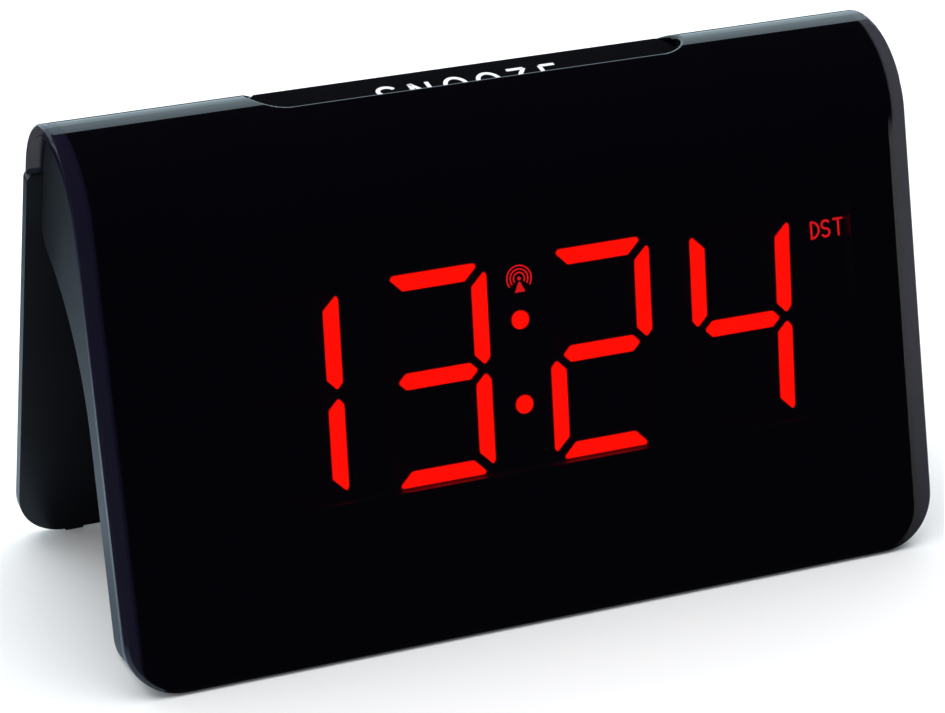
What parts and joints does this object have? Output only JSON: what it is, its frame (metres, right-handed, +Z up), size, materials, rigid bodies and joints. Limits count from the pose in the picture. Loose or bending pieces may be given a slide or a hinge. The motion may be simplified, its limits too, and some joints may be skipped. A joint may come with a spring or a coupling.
{
  "type": "alarm clock",
  "caption": "Folded A-frame bedside alarm clock: dark glossy face with a large red LED time display, a long snooze key in the top edge and controls on the rear leg.",
  "frame": {"origin": "on the table, under the middle of the clock", "axes": "+X to the reader's right, the display faces -Y, +Z up"},
  "size_m": [0.185, 0.0825, 0.1094],
  "materials": {
    "tinted_shell": "dark tinted acrylic, high gloss",
    "housing_plastic": "fine matte dark blue-grey ABS",
    "cover_plastic": "dark satin ABS",
    "key_plastic": "black gloss ABS",
    "foot_rubber": "soft matte",
    "lit_red": "diffusing epoxy, lit",
    "unlit_red": "diffusing epoxy, unlit",
    "reflector_plastic": "black matte",
    "circuit_board": "green solder mask",
    "chip_epoxy": "moulded epoxy",
    "switch_plastic": "moulded nylon",
    "spring_steel": "bright",
    "screw_steel": "zinc plated",
    "cell_steel": "bright",
    "can_aluminium": "sleeved can",
    "ferrite": "sintered ferrite",
    "coil_copper": "enamelled copper wire",
    "lead_sheath": "PVC insulation"
  },
  "bodies": {
    "clock": {"antenna_coil": "coil_copper", "antenna_holders": "switch_plastic", "back_plate": "housing_plastic", "back_screws": "screw_steel", "backup_cell": "cell_steel", "buzzer": "switch_plastic", "capacitors": "can_aluminium", "carrier_screws": "screw_steel", "cell_contacts": "spring_steel", "cell_leads": "lead_sheath", "clock_chip": "chip_epoxy", "coil_leads": "coil_copper", "colon_dots": "lit_red", "cover_screws": "screw_steel", "dc_socket": "switch_plastic", "display_board": "circuit_board", "display_reflector": "reflector_plastic", "display_screws": "screw_steel", "driver_chips": "chip_epoxy", "ferrite_rod": "ferrite", "front_feet": "foot_rubber", "front_shell": "tinted_shell", "housing": "housing_plastic", "key_board": "circuit_board", "key_switches": "switch_plastic", "keyboard_screws": "screw_steel", "lit_segments": "lit_red", "main_board": "circuit_board", "main_board_screws": "screw_steel", "power_leads": "lead_sheath", "quartz_crystal": "spring_steel", "radio_icon": "lit_red", "rear_cover": "cover_plastic", "rear_feet": "foot_rubber", "receiver_board": "circuit_board", "regulator": "chip_epoxy", "ribbon_cable": "lead_sheath", "slide_switch": "switch_plastic", "snooze_board": "circuit_board", "snooze_carrier": "housing_plastic", "snooze_springs": "spring_steel", "snooze_switch": "switch_plastic", "summer_time_icon": "lit_red", "unlit_segments": "unlit_red"},
    "time_button": {"time_button": "key_plastic"},
    "alarm_button": {"alarm_button": "key_plastic"},
    "down_button": {"down_button": "key_plastic"},
    "up_button": {"up_button": "key_plastic"},
    "dimmer_button": {"dimmer_button": "key_plastic"},
    "snooze_key": {"snooze_key": "key_plastic"},
    "alarm_slider": {"alarm_slider": "key_plastic"},
    "battery_cap": {"battery_cap": "housing_plastic"}
  },
  "joints": [
    {"name": "snooze_press", "type": "slide", "parent": "clock", "child": "snooze_key", "axis": [0, 0, -1], "range_m": [0, 0.0012], "stiffness_N_per_m": 900, "springref_m": -0.0006, "deforming": ["snooze_springs"]},
    {"name": "time_press", "type": "slide", "parent": "clock", "child": "time_button", "axis": [0, -0.972, -0.2351], "range_m": [0, 0.0008], "stiffness_N_per_m": 600, "springref_m": -0.0004},
    {"name": "alarm_press", "type": "slide", "parent": "clock", "child": "alarm_button", "axis": [0, -0.972, -0.2351], "range_m": [0, 0.0008], "stiffness_N_per_m": 600, "springref_m": -0.0004},
    {"name": "down_press", "type": "slide", "parent": "clock", "child": "down_button", "axis": [0, -0.972, -0.2351], "range_m": [0, 0.0008], "stiffness_N_per_m": 600, "springref_m": -0.0004},
    {"name": "up_press", "type": "slide", "parent": "clock", "child": "up_button", "axis": [0, -0.972, -0.2351], "range_m": [0, 0.0008], "stiffness_N_per_m": 600, "springref_m": -0.0004},
    {"name": "dimmer_press", "type": "slide", "parent": "clock", "child": "dimmer_button", "axis": [0, -0.972, -0.2351], "range_m": [0, 0.0008], "stiffness_N_per_m": 600, "springref_m": -0.0004},
    {"name": "alarm_slide", "type": "slide", "parent": "clock", "child": "alarm_slider", "axis": [1, 0, 0], "range_m": [0, 0.0045]},
    {"name": "battery_cap_turn", "type": "hinge", "parent": "clock", "child": "battery_cap", "pos_m": [0, -0.01767, 0.01545], "axis": [0, -0.9711, 0.2385], "range_deg": [0, 45]}
  ]
}
